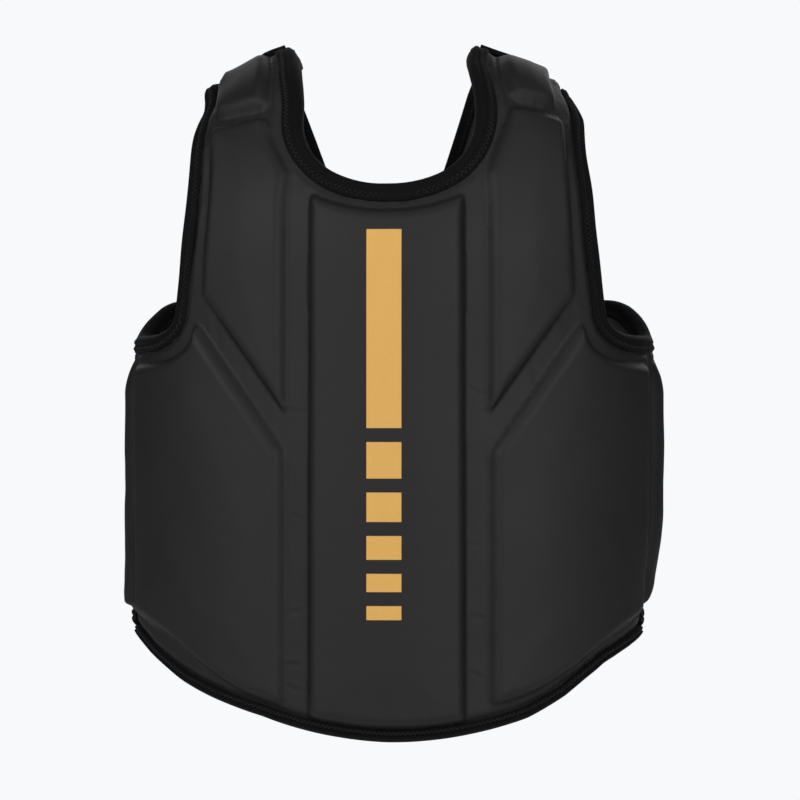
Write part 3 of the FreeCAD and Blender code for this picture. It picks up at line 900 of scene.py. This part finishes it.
def tape_line_depth(points):
    """Depth inside the line where the edge tape's leaf ends on the leather."""
    below = points[:, 2] < 200 * MM
    middle = np.abs(points[:, 0]) < 100 * MM
    width = np.where(below, HEM_TAPE, np.where(middle, NECK_TAPE, ARM_TAPE)) * MM
    return PANEL.depth(points) - width - 0.9 * MM


def neck_rise(points):
    """The panel thickens at the neck where it goes over the shoulder."""
    beside = 1 - smooth(np.abs(upright(points)[:, 0]), 75 * MM, 84 * MM)
    over = 1 - 0.8 * smooth(points[:, 1], 0, 10 * MM)
    return 5.5 * MM * smooth(points[:, 1], -34 * MM, -5 * MM) * over * beside


UNDER_TAPE = 1.4 * MM


def edge_pinch(depth):
    """The leather is drawn in beside a taped edge."""
    return 2.2 * MM * (1 - smooth(depth, 3 * MM, 15 * MM))


def seam_roll(depth):
    """The leather rolls inwards at a seam."""
    return 4.0 * MM * (1 - smooth(depth, 0, 5 * MM)) ** 2


def tape_groove(depth):
    """The leather lies lower under the tape and dives beside its edge, which leaves a dark line."""
    under = UNDER_TAPE * (1 - smooth(depth, -2.6 * MM, 0))
    return under + 2.4 * MM * np.exp(-(depth / (1.3 * MM)) ** 2) * (1 - 0.5 * (depth < 0))


def front_lift(points):
    """Outer offset of the leather: pads, the flats between them and the pinch under the edge tape."""
    taped = PANEL.depth(points)
    centre = CENTRE.depth(points)
    pads = side_pads_depth(points)
    height = np.maximum(pad_height(centre), pad_height(pads))
    flat = 1 - smooth(np.maximum(centre, pads), -1 * MM, 6 * MM)
    puffed = 0.45 * MM * wave_field(points, 60 * MM, 3) + 0.08 * MM * wave_field(points, 18 * MM, 4)
    drawn = 0.12 * MM * wave_field(points * [[1, 1, 0.35]], 9 * MM, 5) * flat
    pinch = edge_pinch(taped) + tape_groove(tape_line_depth(points))
    rolled = seam_roll(seam_depth(points)) * flat
    return (SKIN + height + puffed * 0.7 + drawn + neck_rise(points)
            - pinch - rolled - wrinkle_depth(points) * flat)


FRONT_REACH = girth_of(math.radians(91.3))
FRONT_TOP = DOME_BASE + DOME_RISE * math.radians(71.5)


def front_pieces():
    girths, climbs = (-FRONT_REACH, FRONT_REACH), (-1 * MM, FRONT_TOP)
    hold = rides("front_panel")
    cover = wrapped_sheet("front_leather", girths, climbs, 1.5 * MM, steady(LINING + 0.3 * MM),
                          front_lift, front_depth, [CENTRE.depth, side_pads_depth, tape_line_depth])
    pads = [f"{side}_{pad}_pad_foam" for side in SIDES for pad in ("chest", "rib", "shoulder")]
    fit(cover, PRINTED_LEATHER, "black_leather", hold,
        "front_skin", "front_core_foam", "centre_pad_foam", *pads)
    lining("front_lining_cloth", girths, climbs, lining_face(8), front_depth,
           hold, "front_lining")


# ---------------------------------------------------------------- edge tape of the front panel

def tape_profile(width, face):
    """Folded tape in millimetres: a flat leaf on the leather, a round fold and a leaf on the lining."""
    leaf = [(width + 0.1, -1.6), (width + 0.1, -0.2), (width - 0.6, 0.9), (width * 0.78, 1.4),
            (width * 0.5, 1.2), (width * 0.43, 0.7), (width * 0.37, 1.2), (width * 0.27, 1.7),
            (width * 0.14, 1.2), (0.3, 0.1), (-0.9, -1.5)]
    middle = face / 2
    return [(inward, face + over) for inward, over in leaf] + [
        (-1.5, middle + 1.0), (-1.5, middle - 1.2), (-0.7, -0.1), (0.8, -1.0), (width * 0.5, -1.4),
        (width - 0.6, -1.3), (width - 0.3, -0.3), (width * 0.5, -0.3), (1.4, 0.4), (0.2, middle),
        (1.4, face - 1.8), (width * 0.5, face - 0.2)]


TAPE_SPACING = 2.2 * MM
TAPE_WANDER = 0.28 * MM
STITCH_PLACE = 0.68  # shares of the tape's width
STITCH_SWING = 0.14
PANEL_FACE = 8.6


def on_ridge(across, depth):
    """Point on top of the shoulder at a distance across, just in front of or behind its seam."""
    height = DOME_BASE + DOME_RISE * math.sqrt(1 - (across / HALF_WIDTH) ** 2)
    across += float(lean(across, depth, height))
    return settle(np.array([[across, depth, height]]), RIM)


def over_shoulder(line, across, sign):
    """Front edge line carried over the top of the shoulder to the shoulder seam."""
    laid = onto_front(even_line(line, 1 * MM) * [sign, 1])
    return np.vstack([laid[laid[:, 1] < -12 * MM], on_ridge(sign * across, SHOULDER_SEAM),
                      on_ridge(sign * across, SHOULDER_SEAM + 9 * MM)])


def neck_path():
    line = rounded(NECK_HALF, 30, closed=False)
    return np.vstack([over_shoulder(line, 62.8 * MM, -1)[:0:-1], over_shoulder(line, 62.8 * MM, 1)])


def armhole_path(sign):
    line = rounded([(186, 290)] + ARM_EDGE[::-1], 16, closed=False)
    laid = over_shoulder(line, 126 * MM, sign)
    start = settle(np.array([[sign * 186 * MM, SIDE_SEAM - 0.3 * MM, 290 * MM]]), RIM)
    low = laid[:, 2] < 300 * MM
    return np.vstack([start, laid[low & (laid[:, 1] < SIDE_SEAM - 3 * MM)], laid[~low]])


def hem_path():
    line = np.array(hem_arc(-189, 189, 0, 121)) * MM
    laid = onto_front(line)
    laid = laid[laid[:, 1] < SIDE_SEAM - 3 * MM]
    end = settle(np.array([[190 * MM, SIDE_SEAM - 0.3 * MM, hem_height(186) * MM]]), RIM)
    return np.vstack([end * [-1, 1, 1], laid, end])


def bound_edge(name, path, depth_inside, width, face, hold, *solids, seed, rise=None):
    """Edge tape and its two rows of zigzag stitching, one on each face of the panel."""
    path = even_line(path, TAPE_SPACING)
    tape = swept_edge(name, path, depth_inside, tape_profile(width, face), TAPE_WANDER, seed, rise)
    row, swing = width * STITCH_PLACE * MM, width * STITCH_SWING * MM
    outer = thread_line(f"{name}_stitching", path, depth_inside, row, (face + 1.4) * MM, swing, rise)
    inner = thread_line(f"{name}_inner_stitching", path, depth_inside, row, -1.45 * MM, swing)
    fit(tape, EDGE_TAPE, "edge_tape", hold, *solids)
    for piece in (outer, inner):
        fit(piece, THREAD, "edge_tape", hold)


def front_edges():
    hold = rides("front_panel")
    bound_edge("neck_tape", neck_path(), PANEL.depth, NECK_TAPE, PANEL_FACE, hold, "neck_binding",
               seed=11, rise=neck_rise)
    for side, sign in SIDES.items():
        bound_edge(f"{side}_armhole_tape", armhole_path(sign), PANEL.depth, ARM_TAPE, PANEL_FACE, hold,
                   f"{side}_armhole_binding", seed=12 + sign)
    bound_edge("hem_tape", hem_path(), PANEL.depth, HEM_TAPE, PANEL_FACE, hold, "hem_binding", seed=15)


# ---------------------------------------------------------------- side wings

WING_END = 92 * MM
WING_RADII = [0, 30, 40, 14, 9, 14, 30, 60, 0]


def wing_edge(crest):
    """Free edge of a side wing; crest is how far back its top has fully risen."""
    return [(-21.2, 290), (3, 290), (crest, 319), (84, 319), (94.2, 306), (94.2, 146), (80, 111), (30, 82),
            (-21.2, 75.8)]


WING_EDGES = {1: wing_edge(47), -1: wing_edge(48)}
WINGS = {sign: Shape([(-50, 290)] + edge[1:-1] + [(-50, 75.8)], WING_RADII, "side")
         for sign, edge in WING_EDGES.items()}
WING_PAD = Shape([(-13.2, 274), (40, 276), (62, 262), (62, 124), (44, 104), (-13.2, 88)],
                 [7, 10, 14, 18, 18, 7], "side")


def to_right(points):
    return points * np.where(points[:, :1] < 0, [[-1, 1, 1]], [[1, 1, 1]])


def wing_depth(points):
    folded = to_right(points)
    return np.where(points[:, 0] > 0, WINGS[1].depth(folded), WINGS[-1].depth(folded))


def wing_pad_depth(points):
    return WING_PAD.depth(to_right(points))


def wing_lift(points):
    taped = wing_depth(points)
    pad = wing_pad_depth(points)
    flat = 1 - smooth(pad, -1 * MM, 6 * MM)
    puffed = 0.45 * MM * wave_field(points, 42 * MM, 21) + 0.2 * MM * wave_field(points, 14 * MM, 22)
    drawn = 0.3 * MM * wave_field(points, 10 * MM, 23) * flat
    pinch = edge_pinch(taped) + UNDER_TAPE * (1 - smooth(taped, 9.6 * MM, 12 * MM))
    rolled = seam_roll(points[:, 1] - SIDE_SEAM)
    risen = 0.35 + 0.65 * (1 - smooth(points[:, 2], 248 * MM, 276 * MM))
    return SKIN + pad_height(pad, 15 * MM) * risen + puffed * 0.35 + drawn - pinch - rolled


def wing_joint():
    """Hold for wing pieces: their placement is baked into the mesh."""
    return lambda piece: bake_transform(piece)


def wing_path(sign):
    line = rounded(WING_EDGES[sign], WING_RADII, closed=False)
    laid = onto_side(even_line(line, 1 * MM))
    return laid * [sign, 1, 1]


def wing_pieces(side):
    sign = SIDES[side]
    hold = wing_joint()
    near = girth_of(math.acos(-(SIDE_SEAM + 0.6 * MM) / (HALF_DEPTH + RIM)))
    far = girth_of(math.pi - math.asin((WING_END - 1 * MM) / (HALF_WIDTH + RIM)))
    span = (near, far) if sign > 0 else (-far, -near)
    climbs = (71 * MM, 320 * MM)
    cover = wrapped_sheet(f"{side}_wing_leather", span, climbs, 1.7 * MM, steady(LINING + 0.3 * MM),
                          wing_lift, wing_depth, [wing_pad_depth])
    fit(cover, LEATHER, "black_leather", hold,
        f"{side}_wing_skin", f"{side}_wing_core_foam", f"{side}_wing_pad_foam")
    lining(f"{side}_wing_lining_cloth", span, climbs, lining_face(28), wing_depth,
           hold, f"{side}_wing_lining")
    bound_edge(f"{side}_wing_tape", wing_path(sign), wing_depth, ARM_TAPE, PANEL_FACE, hold,
               f"{side}_wing_binding", seed=30 + sign)


# ---------------------------------------------------------------- back yoke

YOKE_HALF = [(42, 285), (152, 530), (85, 530), (10, 317)]
YOKE = Shape([(42, 150)] + YOKE_HALF + [(0, 309)] + mirror([(42, 150)] + YOKE_HALF),
             [8, 40, 0, 0, 6, 7, 6, 0, 0, 40, 8], "back")


def yoke_depth(points):
    return np.minimum(YOKE.depth(points), points[:, 1] - SHOULDER_SEAM - 0.6 * MM)


def yoke_lift(points):
    taped = YOKE.depth(points)
    puffed = 0.5 * MM * wave_field(points, 34 * MM, 41) + 0.25 * MM * wave_field(points, 12 * MM, 42)
    crown = 1.2 * MM * smooth(taped, 8 * MM, 20 * MM) * (points[:, 2] > 300 * MM)
    pinch = 1.2 * MM * (1 - smooth(taped, 2 * MM, 12 * MM))
    return YOKE_SKIN + puffed * 0.6 + crown - pinch


def yoke_joint(piece):
    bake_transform(piece)


def strap_edge(corners, radius, across):
    """Yoke edge from one shoulder seam down to its lowest point and up to the other."""
    line = even_line(rounded(corners, radius, closed=False), 1 * MM)
    sides = []
    for sign in (-1, 1):
        laid = onto_front(line * [sign, 1], 1)
        end = on_ridge(sign * across, SHOULDER_SEAM + 0.8 * MM)
        sides.append(np.vstack([laid[laid[:, 1] > SHOULDER_SEAM + 10 * MM], end]))
    return np.vstack([sides[0][:0:-1], sides[1]])


STRAP_END = [
    # the strap's end stands on the shoulder seam and slopes down to the yoke: distance back, offset
    (-2.5, 14.6), (-2.9, 16.4), (-1.6, 18.2), (2.0, 18.6), (7.0, 17.0), (16.0, 11.5), (24.0, 7.6),
    (30.0, 6.6), (30.0, 5.6), (22.0, 6.2), (13.0, 10.6), (5.0, 15.4), (0.5, 15.2),
]


def strap_end_drop(points):
    """The end of a strap is thinner towards the arm."""
    return -8 * MM * smooth(np.abs(points[:, 0]), 90 * MM, 110 * MM)


YOKE_FACE = 4.8


def yoke_pieces():
    quarter = girth_of(math.radians(91.2))
    back = girth_of(math.pi)
    span = (quarter, 2 * back - quarter)
    climbs = (149 * MM, DOME_BASE + DOME_RISE * math.radians(70))
    cover = wrapped_sheet("yoke_leather", span, climbs, 2.2 * MM, steady(LINING + 0.2 * MM),
                          yoke_lift, yoke_depth)
    fit(cover, LEATHER, "black_leather", yoke_joint, "yoke_skin", "yoke_foam")
    lining("yoke_lining_cloth", span, climbs, steady(LINING), yoke_depth,
           yoke_joint, "yoke_lining")
    neck = strap_edge([(0, 309.5), (7, 312), (12, 322), (85, 530)], [0, 8, 30, 0], 72.5 * MM)
    bound_edge("yoke_neck_tape", neck, YOKE.depth, YOKE_TAPE, YOKE_FACE, yoke_joint, "yoke_binding",
               seed=44)
    outer = strap_edge([(0, 150), (42, 150), (42, 285), (152, 530)], [0, 8, 40, 0], 127.5 * MM)
    bound_edge("yoke_outer_tape", outer, YOKE.depth, YOKE_TAPE, YOKE_FACE, yoke_joint, seed=45)
    for side, sign in SIDES.items():
        ridge = np.vstack([on_ridge(sign * across, SHOULDER_SEAM)
                           for across in np.linspace(67, 112, 26) * MM])
        end = swept_edge(f"{side}_strap_end", ridge, lambda points: points[:, 1] - SHOULDER_SEAM,
                         STRAP_END, rise=strap_end_drop)
        fit(end, EDGE_TAPE, "edge_tape", yoke_joint)
    loops = wrapped_sheet("loop_cloth", (back - 33 * MM, back + 33 * MM), (165 * MM, 286 * MM), 2.5 * MM,
                          steady(5.6 * MM),
                          lambda points: 7.7 * MM + 0.2 * MM * wave_field(points, 12 * MM, 47))
    fit(loops, LOOPS, "loop_tape", rides("back_yoke"), "loop_field")


# ---------------------------------------------------------------- belts and tabs

BELT_ROWS = (88.5 * MM, 83 * MM)
TAB_ROWS = (57 * MM, 50.5 * MM)
TAB_FOLD = 44.8 * MM


def belt_face(points):
    return 10.6 * MM + 0.25 * MM * wave_field(points, 22 * MM, 51)


def tab_face(points):
    """The tab lies on the belt, and lower beyond its fold."""
    over = smooth(np.abs(points[:, 0]), TAB_FOLD - 2 * MM, TAB_FOLD + 3 * MM)
    return 11.1 * MM + 1.5 * MM * over


def closure(side):
    """Elastic belt, its tab and the tab's hooks, on one side of the back."""
    sign = SIDES[side]
    on_wing = rides(f"{side}_wing")

    def span(first, last):
        """Stretch of girth between two distances from the back's centre line."""
        near, far = (girth_of(math.pi - math.asin(across / (HALF_WIDTH + RIM))) for across in (last, first))
        back = girth_of(math.pi)
        return (near, far) if sign > 0 else (2 * back - far, 2 * back - near)

    def stitch_rows(name, places, offset):
        """Zigzag rows up and down across a belt or tab."""
        climbs = np.linspace(180, 272, 60) * MM
        for number, across in enumerate(places, 1):
            path = wrap(np.full(len(climbs), span(across, across)[0]), climbs, RIM)
            row = thread_line(f"{side}_{name}_stitching_{number}", path,
                              lambda points: sign * points[:, 0] - across, 0, offset, 1.2 * MM)
            fit(row, THREAD, "elastic_webbing", on_wing)

    belt = wrapped_sheet(f"{side}_belt", span(45.4 * MM, 92.5 * MM), (177 * MM, 275 * MM), 2.4 * MM,
                         steady(8.0 * MM), belt_face)
    fit(belt, ELASTIC, "elastic_webbing", on_wing, f"{side}_elastic_belt")
    stitch_rows("belt", BELT_ROWS, 10.9 * MM)
    stitch_rows("tab", TAB_ROWS, 12.9 * MM)
    tab = wrapped_sheet(f"{side}_tab", span(4 * MM, 60 * MM), (176.5 * MM, 275.5 * MM), 2.0 * MM,
                        lambda points: tab_face(points) - 1.5 * MM, tab_face)
    fit(tab, WEBBING, "closure_webbing",
        lambda piece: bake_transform(piece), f"{side}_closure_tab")
    hooks = wrapped_sheet(f"{side}_hooks", span(7 * MM, 32 * MM), (183 * MM, 269 * MM), 2.2 * MM,
                          steady(8.2 * MM), steady(9.7 * MM))
    fit(hooks, HOOKS, "hook_tape", rides(f"{side}_tab"), f"{side}_hook_patch")


# ---------------------------------------------------------------- stage

CAMERA_DISTANCE = 2.5
CAMERA_HEIGHT = 244 * MM
CAMERA_TURN = math.radians(2.5)
LENS = 150.1
FRAME_SHIFT = 0.0082
FLOOR_HEIGHT = -0.16
WORLD_STRENGTH = 0.04

PALE = (0.939, 0.947, 0.965, 1)
LAMPS = [
    # name, place, width in metres, power in watts
    ("front_left", (-1.34, -2.52, 1.18), 1.7, 26),
    ("front_right", (1.38, -2.59, 0.87), 1.7, 26),
    ("side_left", (-2.40, -1.28, 1.52), 1.7, 12),
    ("side_right", (2.03, -1.08, 2.18), 1.7, 10),
    ("top", (0.0, -0.93, 3.10), 1.7, 9),
    ("back_left", (-0.9, 2.6, 1.7), 1.8, 11),
    ("back_right", (1.0, 2.6, 1.7), 1.8, 14),
]
AIM = (0.0, 0.0, 0.25)


def seen_white(tree, shaded, bright_kind, result):
    """Make a stage surface or the surroundings pale to the eye, and shaded for everything else."""
    path = tree.nodes.new("ShaderNodeLightPath")
    mix = tree.nodes.new("ShaderNodeMixShader")
    bright = tree.nodes.new(bright_kind)
    bright.inputs["Color"].default_value = PALE
    tree.links.new(path.outputs["Is Camera Ray"], mix.inputs[0])
    tree.links.new(shaded.outputs[0], mix.inputs[1])
    tree.links.new(bright.outputs[0], mix.inputs[2])
    tree.links.new(mix.outputs[0], tree.nodes[result].inputs["Surface"])


def studio():
    """Pale floor and surroundings, soft light, and a level camera in front."""
    pale = bpy.data.materials.new("pale stage")
    pale.use_nodes = True
    surface = pale.node_tree.nodes["Principled BSDF"]
    surface.inputs["Base Color"].default_value = PALE
    surface.inputs["Roughness"].default_value = 0.9
    seen_white(pale.node_tree, surface, "ShaderNodeEmission", "Material Output")
    bpy.ops.object.select_all(action="DESELECT")
    bpy.ops.mesh.primitive_plane_add(size=14, location=(0, 0, FLOOR_HEIGHT))
    floor = bpy.context.object
    floor.name = "floor"
    floor.data.materials.append(pale)
    world = bpy.data.worlds.new("studio")
    bpy.context.scene.world = world
    world.use_nodes = True
    dim = world.node_tree.nodes["Background"]
    dim.inputs["Color"].default_value = PALE
    dim.inputs["Strength"].default_value = WORLD_STRENGTH
    seen_white(world.node_tree, dim, "ShaderNodeBackground", "World Output")
    for name, place, width, power in LAMPS:
        light = bpy.data.lights.new(name, "AREA")
        light.shape = "SQUARE"
        light.size = width
        light.energy = power
        lamp = bpy.data.objects.new(name, light)
        bpy.context.scene.collection.objects.link(lamp)
        lamp.location = place
        away = np.array(AIM) - np.array(place)
        lamp.rotation_euler = (math.atan2(math.hypot(away[0], away[1]), -away[2]), 0,
                               math.atan2(-away[0], away[1]))
    camera_data = bpy.data.cameras.new("camera")
    camera_data.lens = LENS
    camera_data.sensor_width = 36
    camera_data.shift_x = FRAME_SHIFT
    camera = bpy.data.objects.new("camera", camera_data)
    bpy.context.scene.collection.objects.link(camera)
    camera.location = (CAMERA_DISTANCE * math.sin(CAMERA_TURN), -CAMERA_DISTANCE * math.cos(CAMERA_TURN),
                       CAMERA_HEIGHT)
    camera.rotation_euler = (math.radians(90), 0, CAMERA_TURN)
    bpy.context.scene.camera = camera
    bpy.context.scene.view_settings.view_transform = "Standard"


front_pieces()
front_edges()
for wing_side in SIDES:
    wing_pieces(wing_side)
yoke_pieces()
for tab_side in SIDES:
    closure(tab_side)
studio()
